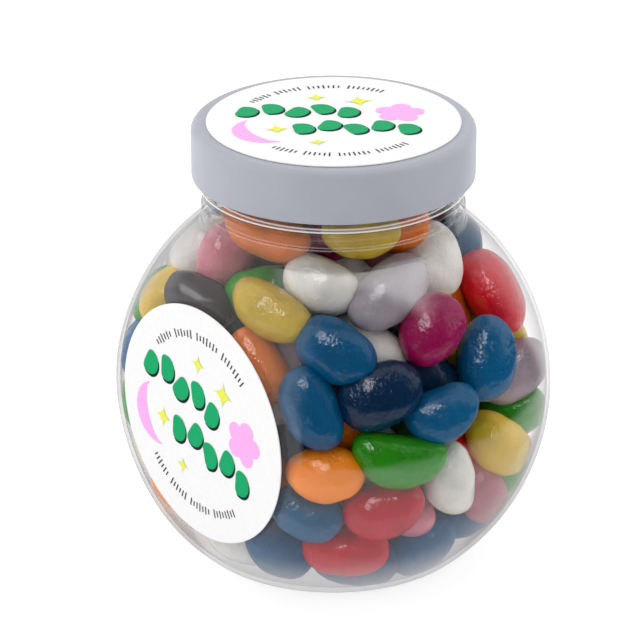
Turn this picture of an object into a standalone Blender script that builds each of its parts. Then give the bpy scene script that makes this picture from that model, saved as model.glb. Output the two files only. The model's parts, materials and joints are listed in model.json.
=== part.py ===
"""Clear round jar of jelly beans with a flat-topped screw lid and two printed labels.

Metres, +Z up.  The jar stands on its flat base at z = 0, its axis is the Z axis and the
panel with the side label faces -Y.
"""
import math

import bmesh
import bpy
from mathutils import Matrix, Vector

MM = 0.001

# ---------------------------------------------------------------- jar
BODY_R = 51.0 * MM            # outer radius of the round body
BODY_Z = 39.0 * MM            # height of the body's centre above the base
WALL = 1.2 * MM               # wall of body and neck
BASE_T = 1.6 * MM             # thickness of the flat base
BASE_EASE = 1.2 * MM          # eased edge between base and body
PANEL_Y = 39.5 * MM           # flat front and back panels, distance from the axis
NECK_R = 29.6 * MM            # outer radius of the neck
NECK_FILLET = 2.0 * MM        # flare between neck and shoulder
RIM_Z = 101.7 * MM            # top of the neck
STEP_Z = 84.4 * MM            # small step where the neck meets the shoulder
STEP_R = 30.3 * MM
BEAD_Z = 88.8 * MM            # bead just under the lid
BEAD_R = 30.4 * MM
BEAD_H = 1.3 * MM
JAR_SEGMENTS = 52
BODY_ROWS = 17
CAVITY_ROWS = 16

# ---------------------------------------------------------------- lid
LID_R = 32.4 * MM
LID_TOP_Z = 103.6 * MM
LID_H = 12.3 * MM
LID_TOP_T = 1.6 * MM
LID_WALL = 1.5 * MM
LID_EDGE_R = 1.5 * MM         # rounded top edge
LID_SEGMENTS = 48

# ---------------------------------------------------------------- labels
LABEL_T = 0.25 * MM
LABEL_GAP = 0.1 * MM
SIDE_LABEL_R = 28.4 * MM
SIDE_LABEL_Z = 40.0 * MM
LID_LABEL_R = 29.5 * MM
LABEL_SEGMENTS = 48

# ---------------------------------------------------------------- heap of beans
BEAN_LENGTH = 20.5 * MM
BEAN_WIDTH = 12.6 * MM
BEAN_THICK = 11.6 * MM
HEAP_GAP = 0.5 * MM           # clearance between the heap and the jar
HEAP_SWAY = math.radians(2.2) # how far round a direction that clearance is kept
HEAP_TOP_Z = 100.6 * MM       # highest point of the heap, just under the lid
HEAP_DENT = 5.2 * MM          # deepest gap between the outer beans
HEAP_SUBDIVISIONS = 5
HEAP_FACETS_KEPT = 0.72       # share of the facets left where the outline is plain
OUTER_BEANS = 104
GOLDEN_TURN = math.pi * (3.0 - math.sqrt(5.0))


# ================================================================ helpers
def clear_scene():
    for ob in list(bpy.data.objects):
        bpy.data.objects.remove(ob, do_unlink=True)


def material(name, rgb, roughness, alpha=1.0):
    mat = bpy.data.materials.new(name)
    mat.use_nodes = True
    shader = mat.node_tree.nodes["Principled BSDF"]
    shader.inputs["Base Color"].default_value = (*rgb, 1.0)
    shader.inputs["Roughness"].default_value = roughness
    shader.inputs["Alpha"].default_value = alpha
    mat.diffuse_color = (*rgb, alpha)
    return mat


def add_object(name, mesh):
    ob = bpy.data.objects.new(name, mesh)
    bpy.context.scene.collection.objects.link(ob)
    return ob


def arc(cx, cz, radius, start_deg, end_deg, steps):
    """Points (x, z) of an arc, both ends included."""
    out = []
    for i in range(steps + 1):
        a = math.radians(start_deg + (end_deg - start_deg) * i / steps)
        out.append((cx + radius * math.cos(a), cz + radius * math.sin(a)))
    return out


def turned(name, profile, segments):
    """Solid turned about the Z axis from a profile that starts and ends on the axis."""
    mesh = bpy.data.meshes.new(name)
    bm = bmesh.new()
    rings = []
    for x, z in profile:
        if x < 1e-7:
            rings.append([bm.verts.new((0.0, 0.0, z))])
            continue
        ring = []
        for k in range(segments):
            a = 2.0 * math.pi * k / segments
            ring.append(bm.verts.new((x * math.cos(a), x * math.sin(a), z)))
        rings.append(ring)
    for upper, lower in zip(rings, rings[1:]):
        for k in range(segments):
            n = (k + 1) % segments
            if len(upper) == 1:
                bm.faces.new((upper[0], lower[k], lower[n]))
            elif len(lower) == 1:
                bm.faces.new((upper[k], lower[0], upper[n]))
            else:
                bm.faces.new((upper[k], lower[k], lower[n], upper[n]))
    bmesh.ops.recalc_face_normals(bm, faces=bm.faces)
    bm.to_mesh(mesh)
    bm.free()
    return add_object(name, mesh)


def box(name, low, high):
    mesh = bpy.data.meshes.new(name)
    bm = bmesh.new()
    bmesh.ops.create_cube(bm, size=1.0)
    size = Vector(high) - Vector(low)
    centre = (Vector(high) + Vector(low)) / 2.0
    for v in bm.verts:
        v.co = Vector((v.co.x * size.x, v.co.y * size.y, v.co.z * size.z)) + centre
    bm.to_mesh(mesh)
    bm.free()
    ob = add_object(name, mesh)
    ob.hide_render = True
    ob.display_type = "WIRE"
    return ob


def cut(target, cutter):
    cutter.hide_render = True
    cutter.display_type = "WIRE"
    mod = target.modifiers.new("cut_" + cutter.name, "BOOLEAN")
    mod.operation = "DIFFERENCE"
    mod.solver = "EXACT"
    mod.object = cutter
    return mod


# ================================================================ jar
def shoulder_fillet(neck, radius):
    """Concave flare (x, z) from an upright neck of radius neck into the round body."""
    cx = neck + NECK_FILLET
    cz = BODY_Z + math.sqrt((radius + NECK_FILLET) ** 2 - cx * cx)
    landing = 180.0 + math.degrees(math.atan2(cz - BODY_Z, cx))
    return arc(cx, cz, NECK_FILLET, 180.0, landing, 2)


def body_arc(radius, start_x, floor_z, rows):
    """Outline of the round body from the radius start_x under the neck down to floor_z."""
    start = math.degrees(math.acos(start_x / radius))
    end = -math.degrees(math.asin((BODY_Z - floor_z) / radius))
    return arc(0.0, BODY_Z, radius, start, end, rows)


def outer_profile():
    half = BEAD_H / 2.0
    flat_r = math.sqrt(BODY_R ** 2 - BODY_Z ** 2) - BASE_EASE
    pts = [(0.0, RIM_Z), (NECK_R, RIM_Z)]
    pts += [(NECK_R, BEAD_Z + half), (BEAD_R, BEAD_Z + half * 0.5)]
    pts += [(BEAD_R, BEAD_Z - half * 0.5), (NECK_R, BEAD_Z - half)]
    pts += [(NECK_R, STEP_Z + (STEP_R - NECK_R)), (STEP_R, STEP_Z)]
    flare = shoulder_fillet(STEP_R, BODY_R)
    pts += flare
    pts += body_arc(BODY_R, flare[-1][0], BASE_EASE, BODY_ROWS)[1:]
    pts += [(flat_r, 0.0), (0.0, 0.0)]
    return pts


def cavity_profile():
    """Hollow of the jar; it runs past the rim, so the mouth is open."""
    radius = BODY_R - WALL
    neck = NECK_R - WALL
    above = RIM_Z + BODY_R
    floor_r = math.sqrt(radius ** 2 - (BODY_Z - BASE_T) ** 2) - BASE_EASE
    flare = shoulder_fillet(neck, radius)
    pts = [(0.0, above), (neck, above)]
    pts += flare
    pts += body_arc(radius, flare[-1][0], BASE_T + BASE_EASE, CAVITY_ROWS)[1:]
    pts += [(floor_r, BASE_T), (0.0, BASE_T)]
    return pts


def flatten_panels(target, distance):
    """Slice the round body flat at a distance from the axis, front and back."""
    far = 2.0 * BODY_R
    front = box(target.name + "_front_slice", (-far, -far, -far), (far, -distance, far))
    back = box(target.name + "_back_slice", (-far, distance, -far), (far, far, far))
    cut(target, front)
    cut(target, back)


def build_jar():
    jar = turned("jar", outer_profile(), JAR_SEGMENTS)
    flatten_panels(jar, PANEL_Y)
    cavity = turned("jar_cavity", cavity_profile(), JAR_SEGMENTS)
    flatten_panels(cavity, PANEL_Y - WALL)
    cut(jar, cavity)
    jar.data.materials.append(material("jar_clear", (0.93, 0.93, 0.95), 0.06, alpha=0.3))
    return jar


# ================================================================ lid
def build_lid():
    top = LID_TOP_Z
    foot = LID_TOP_Z - LID_H
    inner_r = LID_R - LID_WALL
    pts = [(0.0, top)]
    pts += arc(LID_R - LID_EDGE_R, top - LID_EDGE_R, LID_EDGE_R, 90.0, 0.0, 3)
    pts += [(LID_R, foot + 0.4 * MM), (LID_R - 0.4 * MM, foot)]
    pts += [(inner_r, foot), (inner_r, top - LID_TOP_T), (0.0, top - LID_TOP_T)]
    lid = turned("lid", pts, LID_SEGMENTS)
    lid.data.materials.append(material("lid_plastic", (0.60, 0.62, 0.68), 0.35))
    return lid


# ================================================================ labels
def build_disc(name, radius, thickness, segments):
    """Thin disc from z = 0 up to its thickness."""
    return turned(name, [(0.0, thickness), (radius, thickness), (radius, 0.0), (0.0, 0.0)], segments)


def build_labels():
    paper = material("label_paper", (0.93, 0.93, 0.93), 0.5)
    side = build_disc("side_label", SIDE_LABEL_R, LABEL_T, LABEL_SEGMENTS)
    side.data.transform(Matrix.Rotation(math.radians(90.0), 4, "X"))
    side.data.transform(Matrix.Translation((0.0, -(PANEL_Y + LABEL_GAP), SIDE_LABEL_Z)))
    side.data.materials.append(paper)
    top_paper = material("lid_label_paper", (0.95, 0.95, 0.95), 0.5)
    top = build_disc("lid_label", LID_LABEL_R, LABEL_T, LABEL_SEGMENTS)
    top.data.transform(Matrix.Translation((0.0, 0.0, LID_TOP_Z + LABEL_GAP)))
    top.data.materials.append(top_paper)
    return side, top


# ================================================================ heap
def cavity_reach(direction):
    """Distance from the body's centre to the heap's limit inside the jar, along a direction."""
    clear = WALL + HEAP_GAP
    reach = BODY_R - clear
    flat = math.hypot(direction.x, direction.y)
    if direction.z > 0.0:
        neck = NECK_R - clear
        join = math.sqrt(reach * reach - neck * neck)
        if flat * join < neck * direction.z:
            reach = (HEAP_TOP_Z - BODY_Z) / direction.z
            if flat > 1e-9:
                reach = min(reach, neck / flat)
    if direction.z < 0.0:
        reach = min(reach, (BODY_Z - BASE_T - HEAP_GAP) / -direction.z)
    if abs(direction.y) > 1e-9:
        reach = min(reach, (PANEL_Y - clear) / abs(direction.y))
    return reach


def heap_reach(direction):
    """The least reach in a narrow cone, so that facets clear the corner under the neck."""
    side = direction.orthogonal().normalized() * math.sin(HEAP_SWAY)
    across = direction.cross(side)
    around = [direction, direction + side, direction - side, direction + across, direction - across]
    return min(cavity_reach(d.normalized()) for d in around)


def outer_beans():
    """Bean-sized ellipsoids lying against the inside of the jar, spread evenly over it."""
    beans = []
    for i in range(OUTER_BEANS):
        height = 1.0 - 2.0 * (i + 0.5) / OUTER_BEANS
        ring = math.sqrt(1.0 - height * height)
        turn = GOLDEN_TURN * i
        out = Vector((ring * math.cos(turn), ring * math.sin(turn), height))
        sway = 0.5 + 0.5 * math.sin(5.3 * i)
        centre = out * (cavity_reach(out) - BEAN_THICK * (0.50 + 0.10 * sway))
        along = out.orthogonal().normalized()
        along.rotate(Matrix.Rotation(2.4 * i + 1.1 * math.sin(3.7 * i), 3, out))
        across = out.cross(along)
        beans.append((centre, along, across, out))
    return beans


def ray_to_bean(direction, bean):
    """Where a ray from the body's centre leaves a bean, or 0 if it misses."""
    centre, along, across, out = bean
    d = Vector((direction.dot(along) / (BEAN_LENGTH / 2.0),
                direction.dot(across) / (BEAN_WIDTH / 2.0),
                direction.dot(out) / (BEAN_THICK / 2.0)))
    c = Vector((centre.dot(along) / (BEAN_LENGTH / 2.0),
                centre.dot(across) / (BEAN_WIDTH / 2.0),
                centre.dot(out) / (BEAN_THICK / 2.0)))
    a = d.dot(d)
    b = d.dot(c)
    disc = b * b - a * (c.dot(c) - 1.0)
    if disc <= 0.0:
        return 0.0
    return (b + math.sqrt(disc)) / a


def build_heap():
    mesh = bpy.data.meshes.new("jelly_beans")
    bm = bmesh.new()
    bmesh.ops.create_icosphere(bm, subdivisions=HEAP_SUBDIVISIONS, radius=1.0)
    beans = outer_beans()
    for v in bm.verts:
        direction = v.co.normalized()
        limit = heap_reach(direction)
        reach = limit - HEAP_DENT
        for bean in beans:
            reach = max(reach, ray_to_bean(direction, bean))
        v.co = direction * min(reach, limit)
        v.co.z += BODY_Z
    bm.to_mesh(mesh)
    bm.free()
    heap = add_object("jelly_beans", mesh)
    thin = heap.modifiers.new("fewer_facets", "DECIMATE")
    thin.decimate_type = "COLLAPSE"
    thin.ratio = HEAP_FACETS_KEPT
    heap.data.materials.append(material("bean_mix", (0.62, 0.25, 0.20), 0.3))
    return heap


clear_scene()
build_jar()
build_lid()
build_labels()
build_heap()
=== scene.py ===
"""The looks of a clear round jar of jelly beans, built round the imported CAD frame."""
import json
import math

import bmesh
import bpy
import numpy as np
from mathutils import Matrix, Vector

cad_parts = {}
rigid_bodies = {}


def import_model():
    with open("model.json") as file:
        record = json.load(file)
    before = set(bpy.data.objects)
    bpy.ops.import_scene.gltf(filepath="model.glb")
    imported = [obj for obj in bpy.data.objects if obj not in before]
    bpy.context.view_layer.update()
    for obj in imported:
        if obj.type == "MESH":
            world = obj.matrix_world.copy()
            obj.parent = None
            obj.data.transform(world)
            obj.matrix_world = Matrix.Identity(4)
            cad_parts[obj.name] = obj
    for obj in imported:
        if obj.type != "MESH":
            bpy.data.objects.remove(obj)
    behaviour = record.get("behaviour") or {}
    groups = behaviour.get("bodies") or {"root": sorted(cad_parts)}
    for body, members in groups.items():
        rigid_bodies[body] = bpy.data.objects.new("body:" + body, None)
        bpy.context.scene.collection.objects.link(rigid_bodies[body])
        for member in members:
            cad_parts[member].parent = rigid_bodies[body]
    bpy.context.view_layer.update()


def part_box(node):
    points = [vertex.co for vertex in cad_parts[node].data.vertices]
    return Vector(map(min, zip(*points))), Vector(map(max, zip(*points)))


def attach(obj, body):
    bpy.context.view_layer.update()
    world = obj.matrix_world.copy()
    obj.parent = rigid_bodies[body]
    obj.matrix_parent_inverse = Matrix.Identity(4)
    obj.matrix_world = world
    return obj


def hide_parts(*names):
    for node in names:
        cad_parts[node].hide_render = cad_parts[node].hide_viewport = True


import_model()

MM = 0.001
LABEL_MARGIN = 0.6 * MM       # how far the lid's label keeps inside the CAD one's edge

# ---- places read from the frame
jar_low, jar_high = (np.array(corner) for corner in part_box("jar"))
lid_low, lid_high = (np.array(corner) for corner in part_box("lid"))
side_low, side_high = (np.array(corner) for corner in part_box("side_label"))
top_low, top_high = (np.array(corner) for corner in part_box("lid_label"))

BODY_R = (jar_high[0] - jar_low[0]) / 2.0     # round body
PANEL_Y = jar_high[1]                         # flat front and back sides
RIM_Z = jar_high[2]
LID_R = (lid_high[0] - lid_low[0]) / 2.0
SIDE_LABEL_R = (side_high[0] - side_low[0]) / 2.0
SIDE_LABEL_Z = (side_high[2] + side_low[2]) / 2.0
LID_LABEL_R = (top_high[0] - top_low[0]) / 2.0 - LABEL_MARGIN

# ---- other sizes of jar and lid
BODY_Z = 39.0 * MM            # centre of the round body
WALL = 0.9 * MM
BASE_T = 1.6 * MM
NECK_R = 29.6 * MM
RIM_EASE = 0.3 * MM
STEP_Z = 84.4 * MM            # step where the neck meets the shoulder
STEP_R = 30.3 * MM
STEP_ROUND = 0.35 * MM
STEP_RISE = 0.9 * MM          # height over which the neck widens to the step
BEAD_Z = 88.8 * MM            # bead under the lid
BEAD_R = 30.4 * MM
BEAD_H = 1.3 * MM
SHOULDER_FILLET = 2.0 * MM
OUTER_CORNER = 3.0 * MM       # rounding between the body and its base, outside and inside
INNER_CORNER = 2.5 * MM
PANEL_SOFT = 1.0 * MM         # how softly the flat sides meet the round body
BODY_ROWS = 84
JAR_SEGMENTS = 216
LID_WALL = 1.5 * MM
LID_TOP_T = 1.6 * MM
LID_CROWN = 1.8 * MM          # rounding of its upper edge and of its foot
LID_FOOT = 0.5 * MM
LID_EASE = 0.2 * MM
DISC_SEGMENTS = 160           # round the lid and the labels

# ---- the room inside the jar
INNER_R = BODY_R - WALL
INNER_Y = PANEL_Y - WALL
INNER_FLOOR = BASE_T
INNER_NECK = NECK_R - WALL
HEAP_TOP = lid_high[2] - 3.4 * MM   # the beans fill the neck up to here
NECK_JOIN_Z = BODY_Z + math.sqrt(INNER_R ** 2 - INNER_NECK ** 2)
CENTRE = np.array([0.0, 0.0, BODY_Z])

# ---- beans
BEAN_LENGTH = 19.0 * MM
BEAN_WIDTH = 13.2 * MM
BEAN_THICK = 12.4 * MM
BEAN_BEND = 1.2 * MM          # how far the middle stands out sideways from the ends
BEAN_COUNT = 188
SETTLE_STEPS = 260
FRONT_LAYER = 9.0 * MM        # depth kept for the listed beans, where the cosine of the angle from the camera is past this, and how softly it begins
FRONT_FROM = 0.25             # angle from the camera is past this, and how softly it begins
FRONT_SOFT = 0.2
NEAR_PANEL = 0.3 * MM         # beans this close to a flat side or to the neck lie along it
NEAR_NECK = 4.0 * MM
HELD_OUTER = 0.97             # how firmly the listed beans keep their places
HELD_INNER = 0.6
OUTER_DEPTH = 9               # mm; listed beans deeper than this are held less firmly
STIFFNESS = 0.9               # how little a held bean gives way to others,
HOME_PULL = 0.3               # and how fast it goes back to its place
PUSH_SHARE = 0.55             # part of an overlap that one step undoes
THIN_STEADY = 0.15            # how strongly a bean keeps its turn about its own length
RESORT_STEPS = 6              # steps between two searches for beans that may touch
TOUCH_REACH = BEAN_LENGTH * 1.25
FILL_TRIES = 9000
FILL_MARGIN = 5.0 * MM
SKIN_GAP = 0.05 * MM          # room left between the beans and the wall
MOST_TONE = 0.6
SEED = 11
BEAN_RINGS = 22
BEAN_SEGMENTS = 28

# base colour of each kind of bean
BEAN_COLOURS = {
    "blue": (0.0, 0.098, 0.235),
    "navy": (0.0, 0.018, 0.058),
    "green": (0.020, 0.27, 0.002),
    "orange": (0.90, 0.21, 0.003),
    "yellow": (0.70, 0.48, 0.035),
    "red": (0.72, 0.003, 0.026),
    "magenta": (0.31, 0.003, 0.078),
    "pink": (0.72, 0.25, 0.31),
    "white": (0.80, 0.78, 0.72),
    "lavender": (0.42, 0.38, 0.42),
    "plum": (0.35, 0.28, 0.32),
    "black": (0.064, 0.056, 0.062),
}

# The beans seen at the front of the jar, as (colour, azimuth, elevation, depth, turn, length,
# width, bend): azimuth from -Y towards +X and elevation from the body's centre in degrees,
# depth of the bean's middle under the inside of the wall in mm, the slope of its length as
# seen from the front corner, its length and width in mm, and how strongly it bends. A ninth
# number says how pale the bean is, 0 to 0.6; the others are drawn at random. For the beans
# high in the neck it is low, as painted shade where the lid shades them.
FRONT_BEANS = [
    ("blue", 51, 32, 6, -39, 19, 14, 0.3, 0.2),
    ("navy", 63, 21, 7, 9, 20, 15, 0.2),
    ("blue", 83, 11, 6, 25, 18, 13, 1.0),
    ("blue", 107, 21, 6, 75, 20, 15, 0.6),
    ("magenta", 87, 36, 6, 54, 18, 14, -0.4),
    ("red", 138, 31, 6, -49, 22, 15, 0.6, 0.3),
    ("white", 114, 55, 7, -82, 18, 15, 0.6, 0.3),
    ("lavender", 75, 50, 7, 41, 23, 14, 0.6, 0.1),
    ("white", 43, 54, 7, -27, 18, 13, 0.6),
    ("yellow", 24, 44, 6, -29, 21, 12, 1.0, 0.1),
    ("blue", 154, 45, 9, 76, 19, 13, 1.0),
    ("orange", 155, 53, 12, -29, 19, 13, 1.0),
    # painted shade: the beans up in the neck, under the lid, have low ninth numbers
    ("orange", 98, 67, 20, -13, 18, 12, 1.0, 0.1),
    ("yellow", 65, 64, 14, -3, 18, 11, 0.5, 0.0),
    ("magenta", 40, 72, 19, -5, 18, 12, 1.0),
    ("orange", 9, 63, 13, -8, 22, 12, 0.6, 0.0),
    ("green", -3, 52, 13, -7, 18, 12, 1.0),
    ("pink", -29, 52, 7, 64, 17, 12, 1.0, 0.2),
    ("white", -50, 45, 6, 51, 17, 12, 1.0),
    ("yellow", -42, 30, 7, 46, 17, 12, 1.0),
    ("black", -16, 39, 7, -23, 17, 12, 1.0),
    ("orange", 22, 28, 8, -53, 19, 12, 1.0),
    ("plum", 34, 34, 13, -29, 19, 13, 1.0),
    ("blue", 43, 17, 6, -72, 20, 13, 0.5, 0.2),
    ("green", 69, 2, 6, 0, 22, 13, 2.2),
    ("orange", 47, -3, 6, -1, 18, 13, 0.6, 0.6),
    ("white", 88, -12, 7, -73, 17, 12, 1.0, 0.2),
    ("yellow", 112, -9, 6, -35, 18, 13, 1.0, 0.4),
    ("plum", 130, 6, 7, 67, 19, 13, 1.0, 0.6),
    ("green", 125, -3, 8, 54, 17, 12, 1.0),
    ("green", 115, -21, 8, -27, 19, 13, 1.0),
    ("blue", 111, -34, 7, 30, 18, 12, 1.0),
    ("pink", 112, -25, 6, -76, 17, 11, 1.0),
    ("red", 65, -17, 6, 18, 19, 14, 1.0, 0.0),
    ("pink", 82, -34, 12, -51, 17, 12, 1.0),
    ("blue", 86, -42, 6, 33, 18, 12, 1.0),
    ("red", 55, -41, 6, -9, 20, 12, 1.0),
    ("blue", 41, -19, 7, -24, 17, 12, 1.0, 0.2),
    ("blue", 29, -38, 6, -29, 17, 12, 1.0),
    ("blue", 58, -47, 4, -1, 21, 12, 1.0),
    ("red", 108, -17, 13, -32, 19, 13, 1.0),
    ("white", 65, 38, 15, -45, 19, 13, 1.0),
    ("navy", 84, 35, 19, -57, 19, 13, 1.0),
    ("navy", 92, 20, 16, -27, 19, 13, 1.0),
    ("yellow", 112, 19, 18, -73, 19, 13, 1.0),
    ("orange", 132, 37, 15, -60, 19, 13, 1.0),
    ("yellow", 136, 19, 9, -70, 19, 13, 1.0),
    ("orange", 53, 14, 17, -76, 19, 13, 1.0),
    ("white", -56, 42, 6, 50, 18, 12, 1.0),
    ("green", -52, 22, 6, 60, 18, 12, 1.0),
    ("blue", -47, 10, 6, 75, 18, 12, 1.0),
    ("green", -45, -6, 6, 85, 18, 12, 1.0),
    ("white", 2, -50, 6, -30, 18, 13, 1.0),
    ("white", 26, -56, 6, -15, 18, 12, 1.0),
]
FILL_COLOURS = ["blue", "red", "orange", "white", "green", "yellow", "blue", "magenta",
                "black", "pink", "navy", "orange", "white", "yellow"]

# ---- labels and print
LABEL_LIFT = 0.04 * MM        # print above the paper
PRINT_T = 0.03 * MM
LAYER_RISE = 0.05 * MM        # between the print's two levels
SIDE_PRINT_TURN = -14.0       # degrees
TOP_PRINT_TURN = 49.0
PRINT_BEAN = (0.225, 0.165, 0.022)   # length, width and bend in label radii

# ---- surfaces
NOISE_ROUGHNESS = 0.55
MOTTLE_SCALE = 170.0          # a bean's mottling, lumps and pits, in cells to the metre
LUMP_SCALE = 190.0
PIT_SCALE = 1700.0
MOTTLE_SHARE = 0.45           # how far the mottling shifts a bean's tone
LUMP_HEIGHT = 1.6 * MM
PIT_DEPTH = 0.1 * MM
WALL_SHINE = 0.034            # gloss of the jar's wall seen square on, and what its edges add
WALL_SHINE_EDGE = 0.72
EDGE_POWER = 5.0              # how narrow those edges are
BEAD_PAINTED_HIGHLIGHT = 0.75             # painted highlight: how pale the bead and the step look; how pale the thick base looks, partly its haze and partly painted light
STEP_PAINTED_HIGHLIGHT = 0.20
BASE_HAZE_AND_PAINTED_LIGHT = 0.15
BASE_HAZE_AND_PAINTED_LIGHT_TOP = 16.0 * MM    # the height where the base's haze and painted light begin, and where they are strongest
BASE_HAZE_AND_PAINTED_LIGHT_FOOT = 0.5 * MM
GRAIN_HEIGHT = 0.03 * MM      # grain of the lid and of the labels' paper
PRINT_GLOSS = 0.02

# ---- studio
BACKDROP_LIGHT = 1.05         # the white that the camera sees
OPENING_FROM = -18.0          # the tent's open front, degrees right of the camera
OPENING_TO = 125.0
OPENING_LIGHT = 0.01
# sides of the tent: degrees right of the camera, elevation, where they begin as the cosine of
# the angle away from that direction, and how softly
TENT_LEFT_SIDE = (-85.0, 8.0, 0.45, 0.45)
TENT_RIGHT_SIDE = (140.0, 10.0, 0.45, 0.25)
TENT_FRONT = (5.0, 15.0, 0.45, 0.50)
TENT_ROOF = (0.55, 0.25)      # the same about straight up
TENT_BASE = 0.55              # how bright gloss shows the tent, its sides and its panel
TENT_LEFT = 1.10
TENT_RIGHT = 0.85
TENT_TOP = 4.2
PANEL_NEAR = 0.24             # the overhead panel's reach towards the camera, away from it,
PANEL_FAR = 0.30
PANEL_LEFT = 0.40             # to the left and to the right
PANEL_RIGHT = 0.72
MATT_BASE = 0.62              # how brightly the same parts light matt surfaces
MATT_LEFT = 3.10
MATT_RIGHT = 2.90
MATT_FRONT = 0.84
MATT_HIGH = 0.70
BEAN_SIDES = (180.0, 0.0, -0.10, 0.25)   # what the gloss of the beans shows instead
BEAN_WINDOW = (-24.0, 60.0, 0.950, 0.012)
BEAN_DARK = 0.05
BEAN_SIDES_LIGHT = 0.9
BEAN_WINDOW_LIGHT = 6.0
CROSSINGS = 2.5               # a ray that has crossed more faces of the wall is the beans' own
FLOOR_HALF = 3.0
FLOOR_DROP = 0.05 * MM
NEAR_FLOOR = 0.15             # radius of the floor that shows in reflections at the open front
FLOOR_GLOW = 0.70             # the floor's own light, for matt surfaces and for the beans' gloss
FLOOR_GLOW_MATT = FLOOR_GLOW * 0.5
FLOOR_GLOW_BEANS = FLOOR_GLOW * 0.35
LIGHT_TURN = -15.0            # the light overhead, degrees right of the camera
LIGHT_ELEVATION = 82.0
LIGHT_DISTANCE = 0.9
LIGHT_SIZE = (0.24, 0.12)
LIGHT_POWER = 0.9

# ---- camera
CAMERA_AZIMUTH = 49.1
CAMERA_ELEVATION = 25.3
CAMERA_DISTANCE = 0.7053
CAMERA_LENS = 168.75          # mm
CAMERA_SENSOR = 36.0
AIM_LEFT = 0.00441            # the camera looks this much left of and above the body's centre
AIM_UP = 0.01977


# ==== mesh helpers
def new_object(name, mesh, mat, smooth=True):
    ob = bpy.data.objects.new(name, mesh)
    bpy.context.scene.collection.objects.link(ob)
    mesh.materials.append(mat)
    if smooth:
        mesh.shade_smooth()
    return ob


def mesh_from(name, verts, faces):
    mesh = bpy.data.meshes.new(name)
    mesh.from_pydata([tuple(v) for v in verts], [], faces)
    mesh.update()
    return mesh


def arc(cx, cz, radius, start_deg, end_deg, steps):
    """Points (x, z) of an arc, both ends included."""
    out = []
    for i in range(steps + 1):
        a = math.radians(start_deg + (end_deg - start_deg) * i / steps)
        out.append((cx + radius * math.cos(a), cz + radius * math.sin(a)))
    return out


def angles(count):
    """count equal steps round a circle, in radians."""
    return [2.0 * math.pi * k / count for k in range(count)]


def revolve(profile, segments):
    """Vertices and faces of a profile (x, z) turned about Z; ends on the axis become fans."""
    verts = []
    rings = []
    for x, z in profile:
        if x < 1e-7:
            rings.append([len(verts)])
            verts.append((0.0, 0.0, z))
            continue
        ring = []
        for a in angles(segments):
            ring.append(len(verts))
            verts.append((x * math.cos(a), x * math.sin(a), z))
        rings.append(ring)
    faces = []
    for upper, lower in zip(rings, rings[1:]):
        for k in range(segments):
            n = (k + 1) % segments
            if len(upper) == 1:
                faces.append((upper[0], lower[k], lower[n]))
            elif len(lower) == 1:
                faces.append((upper[k], lower[0], upper[n]))
            else:
                faces.append((upper[k], lower[k], lower[n], upper[n]))
    return np.array(verts), faces


def smooth_min(a, b, soft):
    """The lesser of a and b, rounded where they meet."""
    h = np.clip(0.5 + 0.5 * (b - a) / soft, 0.0, 1.0)
    return b * (1.0 - h) + a * h - soft * h * (1.0 - h)


def direction(azimuth, elevation):
    """Unit vector at an azimuth from -Y towards +X and an elevation, in degrees."""
    az, el = math.radians(azimuth), math.radians(elevation)
    return (math.sin(az) * math.cos(el), -math.cos(az) * math.cos(el), math.sin(el))


VIEW = np.array(direction(CAMERA_AZIMUTH, CAMERA_ELEVATION))   # towards the camera


# ==== material helpers
def new_material(name):
    mat = bpy.data.materials.new(name)
    mat.use_nodes = True
    return mat, mat.node_tree, mat.node_tree.nodes["Principled BSDF"]


def feed(tree, value, socket):
    """Sets a socket to a number, or links it to another node's output."""
    if isinstance(value, (int, float)):
        socket.default_value = value
    else:
        tree.links.new(value, socket)


def noise(tree, coords, scale, detail):
    node = tree.nodes.new("ShaderNodeTexNoise")
    node.inputs["Scale"].default_value = scale
    node.inputs["Detail"].default_value = detail
    node.inputs["Roughness"].default_value = NOISE_ROUGHNESS
    tree.links.new(coords, node.inputs["Vector"])
    return node.outputs["Fac"]


def object_coords(tree):
    return tree.nodes.new("ShaderNodeTexCoord").outputs["Object"]


def ramp(tree, value, stops):
    """A colour for each value, from stops (place, colour)."""
    node = tree.nodes.new("ShaderNodeValToRGB")
    elements = node.color_ramp.elements
    while len(elements) < len(stops):
        elements.new(0.5)
    for element, (place, colour) in zip(elements, stops):
        element.position = place
        element.color = (*colour, 1.0)
    tree.links.new(value, node.inputs["Fac"])
    return node.outputs["Color"]


def bump(tree, height, distance, strength, normal=None):
    node = tree.nodes.new("ShaderNodeBump")
    node.inputs["Distance"].default_value = distance
    node.inputs["Strength"].default_value = strength
    tree.links.new(height, node.inputs["Height"])
    if normal is not None:
        tree.links.new(normal, node.inputs["Normal"])
    return node.outputs["Normal"]


def math_node(tree, operation, *values):
    node = tree.nodes.new("ShaderNodeMath")
    node.operation = operation
    for socket, value in zip(node.inputs, values):
        feed(tree, value, socket)
    return node.outputs[0]


def product(tree, first, *others):
    for other in others:
        first = math_node(tree, "MULTIPLY", first, other)
    return first


def smooth_range(tree, value, start, end, most=1.0):
    """0 where value is at start, most where it is at end, and a soft change between them."""
    node = tree.nodes.new("ShaderNodeMapRange")
    node.interpolation_type = "SMOOTHSTEP"
    node.inputs["From Min"].default_value = start
    node.inputs["From Max"].default_value = end
    node.inputs["To Max"].default_value = most
    tree.links.new(value, node.inputs["Value"])
    return node.outputs["Result"]


def blend(tree, factor, first, second):
    """The value first where factor is 0, second where it is 1."""
    node = tree.nodes.new("ShaderNodeMix")
    tree.links.new(factor, node.inputs["Factor"])
    feed(tree, first, node.inputs["A"])
    feed(tree, second, node.inputs["B"])
    return node.outputs["Result"]


def mix_shaders(tree, factor, first, second):
    """The shader first where factor is 0, second where it is 1."""
    node = tree.nodes.new("ShaderNodeMixShader")
    tree.links.new(factor, node.inputs["Fac"])
    tree.links.new(first, node.inputs[1])
    tree.links.new(second, node.inputs[2])
    return node.outputs["Shader"]


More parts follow.
